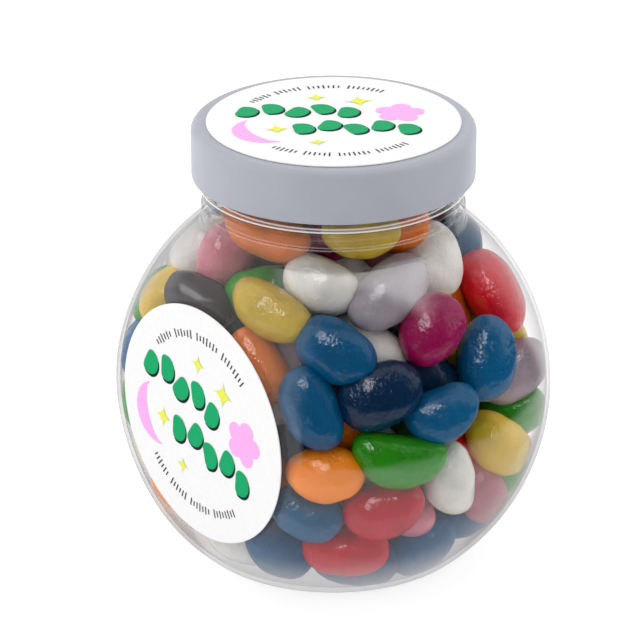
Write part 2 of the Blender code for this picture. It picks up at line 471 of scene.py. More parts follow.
def beyond(tree, vector, axis, edge, soft):
    """1 where the vector's share along axis is past edge, 0 well before it."""
    dot = tree.nodes.new("ShaderNodeVectorMath")
    dot.operation = "DOT_PRODUCT"
    dot.inputs[1].default_value = axis
    tree.links.new(vector, dot.inputs[0])
    return smooth_range(tree, dot.outputs["Value"], edge - soft, edge + soft)


def toward(tree, vector, turn, elevation, edge, soft):
    """beyond, along a direction given in degrees: turn right of the camera, and elevation."""
    axis = direction(CAMERA_AZIMUTH + turn, elevation)
    return beyond(tree, vector, axis, edge, soft)


def in_opening(tree, vector, soft_left, soft_right):
    """1 in the sector of the tent's open front, 0 outside it."""
    past_left = toward(tree, vector, OPENING_FROM + 90.0, 0.0, 0.0, soft_left)
    past_right = toward(tree, vector, OPENING_TO - 90.0, 0.0, 0.0, soft_right)
    return product(tree, past_left, past_right)


def through_wall(tree, path):
    """1 for a ray that has crossed the wall as often as the beans' mirror images do."""
    return math_node(tree, "GREATER_THAN", path.outputs["Transparent Depth"], CROSSINGS)


def set_gloss(shader, roughness, specular):
    shader.inputs["Roughness"].default_value = roughness
    shader.inputs["Specular IOR Level"].default_value = specular


def times(rgb, k):
    return tuple(min(1.0, c * k) for c in rgb)


# ==== materials
def bean_material(colour):
    """A glossy sugar shell with some mottling, soft lumps and fine pits."""
    mat, tree, shader = new_material("bean_" + colour)
    rgb = BEAN_COLOURS[colour]
    # black shows little but its gloss, so it has less of it and no fine grain
    black = colour == "black"
    coords = object_coords(tree)
    mottle = noise(tree, coords, MOTTLE_SCALE, 0.0 if black else 4.0)
    # a bean's tone, which for the beans under the lid is painted shade
    tone_and_shade = tree.nodes.new("ShaderNodeAttribute")
    tone_and_shade.attribute_name = "tone_and_shade"
    mixed = math_node(tree, "MULTIPLY_ADD", mottle, MOTTLE_SHARE, tone_and_shade.outputs["Fac"])
    stops = [(0.15, times(rgb, 0.60)), (0.50, rgb), (1.0, times(rgb, 1.38))]
    tree.links.new(ramp(tree, mixed, stops), shader.inputs["Base Color"])
    lumps = noise(tree, coords, LUMP_SCALE, 0.0 if black else 3.0)
    pits = noise(tree, coords, PIT_SCALE, 2.0)
    pits = ramp(tree, pits, [(0.32, (0.0, 0.0, 0.0)), (0.44, (1.0, 1.0, 1.0))])
    normal = bump(tree, lumps, LUMP_HEIGHT, 0.5)
    normal = bump(tree, pits, PIT_DEPTH, 0.0 if black else 0.5, normal)
    tree.links.new(normal, shader.inputs["Normal"])
    set_gloss(shader, 0.20 if black else 0.14, 0.4 if black else 0.6)
    shader.inputs["Subsurface Weight"].default_value = 0.0 if black else 0.35
    shader.inputs["Subsurface Radius"].default_value = (1.0, 1.0, 1.0)
    shader.inputs["Subsurface Scale"].default_value = 2.0 * MM
    return mat


def ridge_mask(tree, height, middle, half, most):
    """most at the height middle, falling to 0 half above and below it."""
    away = math_node(tree, "SUBTRACT", height, middle)
    away = math_node(tree, "ABSOLUTE", away)
    return smooth_range(tree, away, half, 0.0, most)


def clear_material():
    """Clear plastic: what is behind shows through, and gloss grows towards the edges."""
    mat = bpy.data.materials.new("clear_plastic")
    mat.use_nodes = True
    tree = mat.node_tree
    tree.nodes.clear()
    facing = tree.nodes.new("ShaderNodeLayerWeight")
    facing.inputs["Blend"].default_value = 0.5
    edge = math_node(tree, "POWER", facing.outputs["Facing"], EDGE_POWER)
    # light crosses more plastic where the wall is seen edge on, and comes out greyer
    stops = [(0.0, (0.985, 0.983, 0.986)), (0.10, (0.92, 0.916, 0.92)), (0.5, (0.64, 0.64, 0.65))]
    clear = tree.nodes.new("ShaderNodeBsdfTransparent")
    tree.links.new(ramp(tree, edge, stops), clear.inputs["Color"])
    coords = object_coords(tree)
    ripple = noise(tree, coords, 45.0, 2.0)
    gloss = tree.nodes.new("ShaderNodeBsdfGlossy")
    gloss.inputs["Roughness"].default_value = 0.03
    tree.links.new(bump(tree, ripple, 2.0 * MM, 0.12), gloss.inputs["Normal"])
    shine = math_node(tree, "MULTIPLY_ADD", edge, WALL_SHINE_EDGE, WALL_SHINE)
    wall = mix_shaders(tree, shine, clear.outputs["BSDF"], gloss.outputs["BSDF"])
    # painted highlights: pale matt bands on the moulded bead and step of the neck stand in for the
    # bright lines of light there; the thick base is hazy and gets painted light too, paler towards
    # its foot
    place_in_wall = tree.nodes.new("ShaderNodeSeparateXYZ")
    tree.links.new(coords, place_in_wall.inputs["Vector"])
    height = place_in_wall.outputs["Z"]
    # painted highlights: pale bands on the bead and on the step of the neck
    bead_highlight = ridge_mask(tree, height, BEAD_Z, BEAD_H * 0.28, BEAD_PAINTED_HIGHLIGHT)
    step = ridge_mask(tree, height, STEP_Z, 0.25 * MM, STEP_PAINTED_HIGHLIGHT)
    # the thick base: partly the haze of its plastic, partly painted light from the floor below
    base_haze_and_painted_light = smooth_range(tree, height, BASE_HAZE_AND_PAINTED_LIGHT_TOP, BASE_HAZE_AND_PAINTED_LIGHT_FOOT, BASE_HAZE_AND_PAINTED_LIGHT)
    painted_highlights_and_haze = math_node(tree, "ADD", math_node(tree, "ADD", bead_highlight, step), base_haze_and_painted_light)
    # a pale matt shader that paints the bands and the base light
    pale_painted_light = tree.nodes.new("ShaderNodeBsdfDiffuse")
    pale_painted_light.inputs["Color"].default_value = (0.95, 0.95, 0.95, 1.0)
    surface = mix_shaders(tree, painted_highlights_and_haze, wall, pale_painted_light.outputs["BSDF"])
    out = tree.nodes.new("ShaderNodeOutputMaterial")
    tree.links.new(surface, out.inputs["Surface"])
    return mat


def lid_material():
    mat, tree, shader = new_material("lid_plastic")
    coords = object_coords(tree)
    cloud = noise(tree, coords, 90.0, 3.0)
    stops = [(0.3, (0.375, 0.387, 0.44)), (0.7, (0.40, 0.412, 0.465))]
    tree.links.new(ramp(tree, cloud, stops), shader.inputs["Base Color"])
    grain = noise(tree, coords, 5200.0, 2.0)
    tree.links.new(bump(tree, grain, GRAIN_HEIGHT, 0.25), shader.inputs["Normal"])
    set_gloss(shader, 0.38, 0.15)
    return mat


def paper_material():
    mat, tree, shader = new_material("label_paper")
    fibre = noise(tree, object_coords(tree), 900.0, 4.0)
    stops = [(0.3, (0.82, 0.82, 0.825)), (0.7, (0.85, 0.85, 0.85))]
    tree.links.new(ramp(tree, fibre, stops), shader.inputs["Base Color"])
    tree.links.new(bump(tree, fibre, GRAIN_HEIGHT, 0.2), shader.inputs["Normal"])
    set_gloss(shader, 0.42, PRINT_GLOSS)
    return mat


def ink_material(name, rgb):
    mat, tree, shader = new_material("ink_" + name)
    spots = noise(tree, object_coords(tree), 1500.0, 3.0)
    stops = [(0.3, times(rgb, 0.94)), (0.7, times(rgb, 1.05))]
    tree.links.new(ramp(tree, spots, stops), shader.inputs["Base Color"])
    set_gloss(shader, 0.4, PRINT_GLOSS)
    return mat


def floor_material():
    """White floor that glows a little, and that mirror images show dark in the open front."""
    mat, tree, shader = new_material("studio_floor")
    shader.inputs["Base Color"].default_value = (0.50, 0.50, 0.50, 1.0)
    set_gloss(shader, 0.9, 0.0)
    shader.inputs["Emission Color"].default_value = (1.0, 1.0, 1.0, 1.0)
    path = tree.nodes.new("ShaderNodeLightPath")
    mirrored = path.outputs["Is Glossy Ray"]
    glow = blend(tree, path.outputs["Is Diffuse Ray"], FLOOR_GLOW, FLOOR_GLOW_MATT)
    in_beans = product(tree, through_wall(tree, path), mirrored)
    glow = blend(tree, in_beans, glow, FLOOR_GLOW_BEANS)
    tree.links.new(glow, shader.inputs["Emission Strength"])
    vector = object_coords(tree)
    length = tree.nodes.new("ShaderNodeVectorMath")
    length.operation = "LENGTH"
    tree.links.new(vector, length.inputs[0])
    reach = length.outputs["Value"]
    far = smooth_range(tree, reach, NEAR_FLOOR * 0.9, NEAR_FLOOR * 1.1)
    opening = in_opening(tree, vector, 0.02, 0.02)
    dark = product(tree, opening, far, mirrored)
    black = tree.nodes.new("ShaderNodeEmission")
    black.inputs["Strength"].default_value = OPENING_LIGHT
    surface = mix_shaders(tree, dark, shader.outputs["BSDF"], black.outputs["Emission"])
    tree.links.new(surface, tree.nodes["Material Output"].inputs["Surface"])
    return mat


# ==== jar
def shoulder_fillet(neck, radius, steps):
    """Concave flare (x, z) from an upright neck of radius neck into the round body."""
    cx = neck + SHOULDER_FILLET
    cz = BODY_Z + math.sqrt((radius + SHOULDER_FILLET) ** 2 - cx * cx)
    landing = 180.0 + math.degrees(math.atan2(cz - BODY_Z, cx))
    return arc(cx, cz, SHOULDER_FILLET, 180.0, landing, steps)


def body_stretch(radius, start_x, floor_z, corner):
    """The round body from under the neck to its flat base, with a rounded corner between them."""
    inner = radius - corner
    corner_z = floor_z + corner
    corner_x = math.sqrt(inner ** 2 - (BODY_Z - corner_z) ** 2)
    landing = math.degrees(math.atan2(corner_z - BODY_Z, corner_x))
    start = math.degrees(math.acos(start_x / radius))
    pts = arc(0.0, BODY_Z, radius, start, landing, BODY_ROWS)
    pts += arc(corner_x, corner_z, corner, landing, -90.0, 8)[1:]
    flat = pts[-1][0]
    pts += [(flat * k, floor_z) for k in (0.85, 0.6, 0.3)]
    pts.append((0.0, floor_z))
    return pts


def jar_profiles():
    """The jar's outer and inner outlines (x, z), each from the rim down to the axis."""
    outer = [(INNER_NECK, RIM_Z), (NECK_R - RIM_EASE, RIM_Z), (NECK_R, RIM_Z - RIM_EASE)]
    outer.append((NECK_R, BEAD_Z + BEAD_H * 0.5))
    outer += arc(BEAD_R - BEAD_H * 0.40, BEAD_Z, BEAD_H * 0.48, 85.0, -85.0, 10)
    outer += [(NECK_R, BEAD_Z - BEAD_H * 0.5), (NECK_R, STEP_Z + STEP_RISE)]
    outer.append((NECK_R + 0.1 * MM, STEP_Z + STEP_RISE * 2.0 / 3.0))
    outer += arc(STEP_R - STEP_ROUND, STEP_Z, STEP_ROUND, 70.0, 0.0, 4)
    flare = shoulder_fillet(STEP_R, BODY_R, 8)
    outer += flare
    outer += body_stretch(BODY_R, flare[-1][0], 0.0, OUTER_CORNER)[1:]
    inner = [(INNER_NECK, RIM_Z)]
    flare = shoulder_fillet(INNER_NECK, INNER_R, 8)
    inner += flare
    inner += body_stretch(INNER_R, flare[-1][0], BASE_T, INNER_CORNER)[1:]
    return outer, inner


def press_flat(verts, limit):
    """Presses the round body flat at the front and back panels."""
    y = verts[:, 1]
    verts[:, 1] = np.sign(y) * smooth_min(np.abs(y), np.full(len(y), limit), PANEL_SOFT)
    return verts


def build_jar():
    outer, inner = jar_profiles()
    out_verts, out_faces = revolve(outer, JAR_SEGMENTS)
    in_verts, in_faces = revolve(inner, JAR_SEGMENTS)
    out_verts = press_flat(out_verts, PANEL_Y)
    in_verts = press_flat(in_verts, INNER_Y)
    shift = len(out_verts)
    # the inner surface starts from the outer one's first ring, the mouth
    faces = list(out_faces)
    for face in in_faces:
        turned = [i + shift if i >= JAR_SEGMENTS else i for i in reversed(face)]
        faces.append(tuple(turned))
    verts = np.vstack([out_verts, in_verts])
    mesh = mesh_from("jar_wall", verts, faces)
    bm = bmesh.new()
    bm.from_mesh(mesh)
    loose = [v for v in bm.verts if not v.link_faces]
    bmesh.ops.delete(bm, geom=loose, context="VERTS")
    bmesh.ops.recalc_face_normals(bm, faces=bm.faces)
    bm.to_mesh(mesh)
    bm.free()
    wall = new_object("jar_wall", mesh, clear_material())
    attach(wall, "root")
    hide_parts("jar")


# ==== lid
def build_lid():
    """Cap with softly rounded edges, the same size as the CAD lid."""
    top, foot = lid_high[2], lid_low[2]
    inner_r, ceiling = LID_R - LID_WALL, top - LID_TOP_T
    pts = [(LID_LABEL_R * k, top) for k in (0.0, 0.5, 0.9, 1.0)]
    pts += arc(LID_R - LID_CROWN, top - LID_CROWN, LID_CROWN, 90.0, 0.0, 12)
    pts.append((LID_R, (top + foot) / 2.0))
    pts += arc(LID_R - LID_FOOT, foot + LID_FOOT, LID_FOOT, 0.0, -90.0, 5)
    pts += [(inner_r + LID_EASE, foot), (inner_r, foot + LID_EASE)]
    pts += [(inner_r, ceiling - LID_EASE), (inner_r - LID_EASE * 1.5, ceiling), (0.0, ceiling)]
    verts, faces = revolve(pts, DISC_SEGMENTS)
    cap = new_object("lid_cap", mesh_from("lid_cap", verts, faces), lid_material())
    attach(cap, "root")
    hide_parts("lid")


# ==== labels
def disc(name, radius, thickness, mat):
    """Thin disc with eased edges, its back on z = 0."""
    ease = thickness * 0.4
    pts = [(0.0, thickness), (radius * 0.5, thickness), (radius - ease, thickness)]
    pts += [(radius, thickness - ease), (radius, 0.0), (0.0, 0.0)]
    verts, faces = revolve(pts, DISC_SEGMENTS)
    return new_object(name, mesh_from(name, verts, faces), mat, smooth=False)


def flat_shape(loops, mat, name):
    """Thin plate for each outline (x, y) in loops, joined in one object; its back is on z = 0."""
    bm = bmesh.new()
    for loop in loops:
        # filled in millimetres, because thin shapes in metres are too small to fill cleanly
        low = [bm.verts.new((x / MM, y / MM, 0.0)) for x, y in loop]
        high = [bm.verts.new((x / MM, y / MM, PRINT_T / MM)) for x, y in loop]
        sheet = [bm.faces.new(list(reversed(low))), bm.faces.new(high)]
        bm.normal_update()
        bmesh.ops.triangulate(bm, faces=sheet, ngon_method="EAR_CLIP")
        for i in range(len(loop)):
            n = (i + 1) % len(loop)
            bm.faces.new((low[i], low[n], high[n], high[i]))
    bmesh.ops.recalc_face_normals(bm, faces=bm.faces)
    bmesh.ops.scale(bm, vec=(MM, MM, MM), verts=bm.verts)
    mesh = bpy.data.meshes.new(name)
    bm.to_mesh(mesh)
    bm.free()
    return new_object(name, mesh, mat, smooth=False)


def place(shape, turn_deg, x, y, size=1.0):
    """A loop of points turned and moved, then scaled."""
    a = math.radians(turn_deg)
    cos, sin = math.cos(a), math.sin(a)
    return [(size * (x + px * cos - py * sin), size * (y + px * sin + py * cos))
            for px, py in shape]


def kidney(length, width, bend):
    """Outline of a jelly bean lying along X, hollow on its upper side."""
    out = []
    for a in angles(40):
        t = math.copysign(abs(math.cos(a)) ** 0.8, math.cos(a))
        across = math.copysign(abs(math.sin(a)) ** 0.8, math.sin(a))
        out.append((t * length / 2.0, across * width / 2.0 + bend * (t * t - 0.5)))
    return out


def bean_row(turns, pitch, x, y, unit):
    """A slanting row of printed beans, each turned by one of turns, in degrees."""
    loops = []
    for k, turn in enumerate(turns):
        across = (k - (len(turns) - 1) / 2.0) * pitch
        high = 0.035 if k % 2 else -0.035
        loops.append(place(kidney(*PRINT_BEAN), turn, x + across, y + high, unit))
    return loops


def four_point(radius):
    """A small twinkle: four points with hollow sides."""
    out = []
    for a in angles(32):
        x, y = math.cos(a), math.sin(a)
        out.append((radius * x * abs(x) ** 2.8, radius * y * abs(y) ** 2.8))
    return out


def crescent(radius):
    """A thin moon, open to the right."""
    outer = arc(0.0, 0.0, radius, 95.0, 265.0, 28)
    inner = [(x * 0.44 - radius * 0.03, y * 0.97) for x, y in reversed(outer[1:-1])]
    return outer + inner


def petal_ring(radius, petals, depth):
    """A rounded flower outline."""
    out = []
    for a in angles(72):
        r = radius * (1.0 - depth + depth * abs(math.cos(0.5 * petals * a)) ** 0.7)
        out.append((r * math.cos(a), r * math.sin(a)))
    return out


def dash_arc(radius, start_deg, end_deg, count, width, gaps):
    """A row of short marks along an arc, in groups with wider gaps between them."""
    loops = []
    step = (end_deg - start_deg) / count
    for i in range(count):
        if i in gaps:
            continue
        mid = math.radians(start_deg + step * (i + 0.5))
        tall = width * (0.75 + 0.5 * ((i * 7) % 5) / 4.0)
        half = radius * math.radians(abs(step)) * 0.16
        corner = [(-half, -tall), (half, -tall), (half, tall), (-half, tall)]
        turn = math.degrees(mid) - 90.0
        loops.append(place(corner, turn, radius * math.cos(mid), radius * math.sin(mid)))
    return loops


def print_design(prefix, unit, carry):
    """The print of one label: rows of beans, a flower, a crescent, twinkles and two rows of marks.

    Places and sizes are in units of the label's radius, unit, and carry moves each flat piece
    from the XY plane to its label.
    """
    upper = (75.0, 100.0, 62.0, 112.0, 80.0)
    lower = (100.0, 70.0, 115.0, 78.0, 98.0)
    beans = bean_row(upper, 0.20, -0.29, 0.20, unit)
    beans += bean_row(lower, 0.205, 0.17, -0.17, unit)
    shade = bean_row(upper, 0.20, -0.275, 0.18, unit)
    shade += bean_row(lower, 0.205, 0.185, -0.19, unit)
    flower = place(petal_ring(0.20, 5, 0.34), 12.0, 0.52, 0.16, unit)
    moon = place(crescent(0.27), 30.0, -0.52, -0.24, unit)
    stars = []
    for radius, x, y in ((0.09, -0.14, 0.50), (0.125, 0.20, 0.42),
                         (0.105, -0.44, -0.22), (0.08, -0.12, -0.50)):
        stars.append(place(four_point(radius), 8.0, x, y, unit))
    marks = []
    for start, end in ((150.0, 58.0), (232.0, 318.0)):
        marks += dash_arc(0.76 * unit, start, end, 30, 0.030 * unit, (6, 13, 21))
    layers = [
        ("shade", shade, (0.010, 0.022, 0.018), 0),
        ("green", beans, (0.012, 0.36, 0.135), 1),
        ("pink", [flower, moon], (0.92, 0.42, 0.80), 0),
        ("yellow", stars, (0.76, 0.80, 0.09), 1),
        ("marks", marks, (0.06, 0.06, 0.065), 0),
    ]
    pieces = []
    for name, loops, rgb, level in layers:
        ink = ink_material(prefix + "_" + name, rgb)
        piece = flat_shape(loops, ink, prefix + "_print_" + name)
        lift = LABEL_LIFT + level * LAYER_RISE
        piece.data.transform(carry @ Matrix.Translation((0.0, 0.0, lift)))
        pieces.append(piece)
    return pieces


def build_labels():
    paper = paper_material()
    thick = side_high[1] - side_low[1]
    upright = Matrix.Rotation(math.radians(90.0), 4, "X")
    side_place = Matrix.Translation((0.0, side_high[1], SIDE_LABEL_Z)) @ upright
    side = disc("side_label_disc", SIDE_LABEL_R, thick, paper)
    side.data.transform(side_place)
    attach(side, "root")
    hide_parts("side_label")
    turn = Matrix.Rotation(math.radians(SIDE_PRINT_TURN), 4, "Z")
    face = side_place @ Matrix.Translation((0.0, 0.0, thick)) @ turn
    for piece in print_design("side", SIDE_LABEL_R, face):
        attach(piece, "root")
    thick = top_high[2] - top_low[2]
    top_place = Matrix.Translation((0.0, 0.0, top_low[2]))
    top = disc("lid_label_disc", LID_LABEL_R, thick, paper)
    top.data.transform(top_place)
    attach(top, "root")
    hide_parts("lid_label")
    turn = Matrix.Rotation(math.radians(TOP_PRINT_TURN), 4, "Z")
    face = top_place @ Matrix.Translation((0.0, 0.0, thick)) @ turn
    for piece in print_design("lid", LID_LABEL_R, face):
        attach(piece, "root")


# ==== the heap of beans
def wall_reach(out):
    """Distance from the body's centre to the inside of the jar, along a direction."""
    reach = INNER_R
    flat = math.hypot(out[0], out[1])
    if out[2] > 0.0 and flat * (NECK_JOIN_Z - BODY_Z) < INNER_NECK * out[2]:
        reach = (HEAP_TOP - BODY_Z) / out[2]
        if flat > 1e-9:
            reach = min(reach, INNER_NECK / flat)
    if out[2] < 0.0:
        reach = min(reach, (BODY_Z - INNER_FLOOR) / -out[2])
    if abs(out[1]) > 1e-9:
        reach = min(reach, INNER_Y / abs(out[1]))
    return reach


def front_pose(azimuth, elevation, depth, turn):
    """Centre and axes (length, side, outward) of a listed bean near the wall."""
    out = np.array(direction(azimuth, elevation))
    centre = out * (wall_reach(out) - depth * MM) + CENTRE
    right = np.array(direction(CAMERA_AZIMUTH + 90.0, 0.0))
    up = np.cross(VIEW, right)
    normal = out
    if abs(centre[1]) > INNER_Y - depth * MM - NEAR_PANEL:
        normal = np.array([0.0, math.copysign(1.0, out[1]), 0.0])
    elif centre[2] > NECK_JOIN_Z - NEAR_NECK:
        normal = np.array([out[0], out[1], 0.0]) / math.hypot(out[0], out[1])
    t = math.radians(turn)
    along = math.cos(t) * right + math.sin(t) * up
    # beans that face the front corner squarely lie along the wall, those at the edge as seen
    square = max(0.0, normal.dot(VIEW)) ** 2
    along = along - normal * along.dot(normal) * square
    along = along / np.linalg.norm(along)
    side = np.cross(normal, along)
    side = side / np.linalg.norm(side)
    return centre, np.stack([along, side, np.cross(along, side)], axis=1)


BEAN_KNOTS = np.array([-1.0, -0.5, 0.0, 0.5, 1.0])
BALL_SHARES = np.array([0.86, 0.97, 1.0, 0.97, 0.86])


def knot_arms(sizes):
    """Five balls along a bent line stand for each bean while the heap settles."""
    length, width, bend = sizes.T[:3]
    girth = (width + BEAN_THICK * np.ones(len(width))) / 2.0
    arms = np.zeros((len(sizes), 5, 3))
    arms[:, :, 0] = BEAN_KNOTS * ((length - girth) / 2.0)[:, None]
    arms[:, :, 1] = bend[:, None] * (BEAN_KNOTS ** 2 - 0.5)
    radii = (girth / 2.0)[:, None] * BALL_SHARES
    return arms, radii


def push_inside(points, radii):
    """How far each ball must move to be inside the jar."""
    moved = points.copy()
    body = moved[..., 2] < NECK_JOIN_Z
    rel = moved - CENTRE
    dist = np.linalg.norm(rel, axis=-1)
    limit = INNER_R - radii
    over = np.where(body & (dist > limit), dist - limit, 0.0)
    moved = moved - rel / np.maximum(dist, 1e-9)[..., None] * over[..., None]
    flat = np.linalg.norm(moved[..., :2], axis=-1)
    over = np.where(~body & (flat > INNER_NECK - radii), flat - INNER_NECK + radii, 0.0)
    moved[..., :2] -= moved[..., :2] / np.maximum(flat, 1e-9)[..., None] * over[..., None]
    moved[..., 1] = np.clip(moved[..., 1], radii - INNER_Y, INNER_Y - radii)
    moved[..., 2] = np.clip(moved[..., 2], INNER_FLOOR + radii, HEAP_TOP - radii)
    return moved - points


def behind_front(points):
    """How much deeper than the wall the free beans keep, where the listed ones are seen."""
    rel = points - CENTRE
    ahead = rel @ VIEW / np.linalg.norm(rel, axis=-1)
    return FRONT_LAYER * np.clip((ahead - FRONT_FROM) / FRONT_SOFT, 0.0, 1.0)


def fill_places(rng, fixed, count):
    """Free places in the jar, each as far as can be from the ones taken so far."""
    low, high = (-INNER_R, -INNER_Y, INNER_FLOOR), (INNER_R, INNER_Y, HEAP_TOP)
    tries = rng.uniform(low, high, (FILL_TRIES, 3))
    margin = np.full(len(tries), FILL_MARGIN)
    inside = np.linalg.norm(push_inside(tries, margin), axis=1) < 1e-9
    tries = tries[inside]
    gap = np.linalg.norm(tries[:, None] - fixed[None], axis=2).min(axis=1)
    places = []
    for _ in range(count):
        k = int(np.argmax(gap))
        places.append(tries[k])
        gap = np.minimum(gap, np.linalg.norm(tries - tries[k], axis=1))
    return np.array(places)


def random_turns(rng, count):
    q = rng.normal(size=(count, 4))
    q /= np.linalg.norm(q, axis=1)[:, None]
    w, x, y, z = q.T
    rows = [1 - 2 * (y * y + z * z), 2 * (x * y - w * z), 2 * (x * z + w * y)]
    rows += [2 * (x * y + w * z), 1 - 2 * (x * x + z * z), 2 * (y * z - w * x)]
    rows += [2 * (x * z - w * y), 2 * (y * z + w * x), 1 - 2 * (x * x + y * y)]
    return np.stack(rows, axis=1).reshape(count, 3, 3)


def settle(centres, turns, sizes, held, steps):
    """Pushes overlapping beans apart, and all of them inside the jar, as rigid shapes.

    held is how strongly each bean is kept at the place it was given, 0 to 1.
    """
    arms, radii = knot_arms(sizes)
    arms = arms - arms.mean(axis=1)[:, None]
    home = centres.copy()
    home_turns = turns.copy()
    give = 1.0 - STIFFNESS * held
    free = (held == 0.0)[:, None]
    for step in range(steps):
        if step % RESORT_STEPS == 0:
            apart = np.linalg.norm(centres[:, None] - centres[None], axis=2)
            first, second = np.nonzero(np.triu(apart < TOUCH_REACH, 1))
        points = centres[:, None] + np.einsum("nij,nkj->nki", turns, arms)
        delta = points[first][:, :, None] - points[second][:, None, :]
        dist = np.linalg.norm(delta, axis=-1)
        over = np.maximum(radii[first][:, :, None] + radii[second][:, None, :] - dist, 0.0)
        push = delta / np.maximum(dist, 1e-9)[..., None] * over[..., None]
        shares = (give[first] / (give[first] + give[second]))[:, None, None]
        shift = np.zeros_like(points)
        np.add.at(shift, first, push.sum(axis=2) * (PUSH_SHARE * shares))
        np.add.at(shift, second, -push.sum(axis=1) * (PUSH_SHARE * (1.0 - shares)))
        moved = points + shift
        moved += push_inside(moved, radii + behind_front(moved) * free)
        centres = moved.mean(axis=1)
        spread = np.einsum("nki,nkj->nij", moved - centres[:, None], arms)
        # the thin direction has no arm, so the old axes steady it
        spread += turns * (BEAN_LENGTH / 2.0) ** 2 * THIN_STEADY
        turns = nearest_turn(spread)
        pull = held * HOME_PULL
        centres = centres + (home - centres) * pull[:, None]
        turns = nearest_turn(turns + home_turns * pull[:, None, None])
    return centres, turns


def nearest_turn(matrices):
    """The rotation nearest to each matrix."""
    u, _, vt = np.linalg.svd(matrices)
    u[:, :, 2] *= np.linalg.det(u @ vt)[:, None]
    return u @ vt


def random_sizes(rng, count):
    """Length, width and bend of each bean, no two quite alike."""
    length = BEAN_LENGTH * rng.uniform(0.93, 1.08, count)
    width = BEAN_WIDTH * rng.uniform(0.94, 1.06, count)
    bend = BEAN_BEND * rng.uniform(0.4, 1.9, count)
    return np.stack([length, width, bend], axis=1)


def bean_shape(rng, length, width, bend):
    """Vertices of one kidney-shaped bean about its middle."""
    thick = BEAN_THICK * rng.uniform(0.96, 1.06)
    taper = rng.uniform(-0.08, 0.08)
    blunt = rng.uniform(2.0, 2.3)
    wobble = rng.uniform(0.0, 2.0 * math.pi, 8)
    t = -np.cos(np.linspace(0.0, math.pi, BEAN_RINGS + 1))
    a = np.linspace(0.0, 2.0 * math.pi, BEAN_SEGMENTS, endpoint=False)
    girth = (1.0 - np.abs(t) ** blunt) ** (1.0 / blunt) * (1.0 + taper * t)
    middle = bend * (t * t - 0.5)
    tt, aa = np.meshgrid(t, a, indexing="ij")
    gg = np.repeat(girth[:, None], BEAN_SEGMENTS, axis=1)
    lumps = 1.0 + 0.026 * np.sin(2.6 * tt + wobble[0]) * np.cos(2.0 * aa + wobble[1])
    lumps += 0.022 * np.sin(4.6 * tt + wobble[2]) * np.cos(3.0 * aa + wobble[3])
    lumps += 0.014 * np.sin(7.5 * tt + wobble[4]) * np.cos(aa + wobble[5])
    lumps += 0.008 * np.sin(11.0 * tt + wobble[6]) * np.cos(4.0 * aa + wobble[7])
    # the hollow side of the bend is a little pinched
    hollow = np.maximum(np.cos(aa), 0.0) ** 2 * (1.0 - tt * tt)
    lumps -= 0.035 * (bend / BEAN_LENGTH / 0.06) * hollow
    x = tt * length / 2.0
    y = middle[:, None] + gg * lumps * np.cos(aa) * width / 2.0
    z = gg * lumps * np.sin(aa) * thick / 2.0
    ends = np.array([[-length / 2.0, middle[0], 0.0], [length / 2.0, middle[-1], 0.0]])
    body = np.stack([x[1:-1], y[1:-1], z[1:-1]], axis=-1).reshape(-1, 3)
    return np.vstack([ends, body])


def bean_faces():
    """Faces of one bean: rings of quads between its two end fans."""
    faces = []
    rings = BEAN_RINGS - 1
    for k in range(BEAN_SEGMENTS):
        n = (k + 1) % BEAN_SEGMENTS
        faces.append((0, 2 + n, 2 + k))
        last = 2 + (rings - 1) * BEAN_SEGMENTS
        faces.append((1, last + k, last + n))
        for r in range(rings - 1):
            low = 2 + r * BEAN_SEGMENTS
            high = low + BEAN_SEGMENTS
            faces.append((low + k, low + n, high + n, high + k))
    return faces


def build_beans():
    rng = np.random.default_rng(SEED)
    poses = [front_pose(*row[1:5]) for row in FRONT_BEANS]
    front = len(poses)
    extra = BEAN_COUNT - front
    centres = np.array([pose[0] for pose in poses])
    turns = np.array([pose[1] for pose in poses])
    sizes = np.array([(row[5] * MM, row[6] * MM, row[7] * BEAN_BEND) for row in FRONT_BEANS])
    colours = [row[0] for row in FRONT_BEANS]
    held = [HELD_OUTER if row[3] <= OUTER_DEPTH else HELD_INNER for row in FRONT_BEANS]
    held = np.array(held + [0.0] * extra)
    centres = np.vstack([centres, fill_places(rng, centres, extra)])
    turns = np.concatenate([turns, random_turns(rng, extra)])
    sizes = np.vstack([sizes, random_sizes(rng, extra)])
    colours += [FILL_COLOURS[k % len(FILL_COLOURS)] for k in rng.permutation(extra)]
    centres, turns = settle(centres, turns, sizes, held, SETTLE_STEPS)
    faces = bean_faces()
    made = {}
    for i in range(BEAN_COUNT):
        shape = bean_shape(rng, *sizes[i]) @ turns[i].T + centres[i]
        shape = shape + push_inside(shape, np.full(len(shape), SKIN_GAP))
        tone_and_shade = rng.uniform(0.0, MOST_TONE)
        # the given tone, which for the beans under the lid is painted shade
        if i < front and len(FRONT_BEANS[i]) > 8:
            tone_and_shade = FRONT_BEANS[i][8]
        made.setdefault(colours[i], []).append((shape, tone_and_shade))
    for colour, beans in made.items():
        count = len(beans[0][0])
        verts = np.vstack([shape for shape, _ in beans])
        all_faces = []
        for b in range(len(beans)):
            all_faces += [tuple(v + count * b for v in face) for face in faces]
        mesh = mesh_from("beans_" + colour, verts, all_faces)
        tone_and_shade = mesh.attributes.new("tone_and_shade", "FLOAT", "POINT")
        tone_and_shade.data.foreach_set("value", np.repeat([t for _, t in beans], count).astype(np.float32))
        piece = new_object("beans_" + colour, mesh, bean_material(colour))
        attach(piece, "root")
        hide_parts("jelly_beans")


# ==== studio
def build_floor():
    half = FLOOR_HALF
    corners = [(-half, -half, 0), (half, -half, 0), (half, half, 0), (-half, half, 0)]
    mesh = mesh_from("floor", corners, [(0, 1, 2, 3)])
    floor = new_object("floor", mesh, floor_material(), smooth=False)
    floor.location.z = -FLOOR_DROP


def look_back(ob, out):
    """Turns a camera or a light to look against the direction out."""
    ob.rotation_euler = out.to_track_quat("Z", "Y").to_euler()


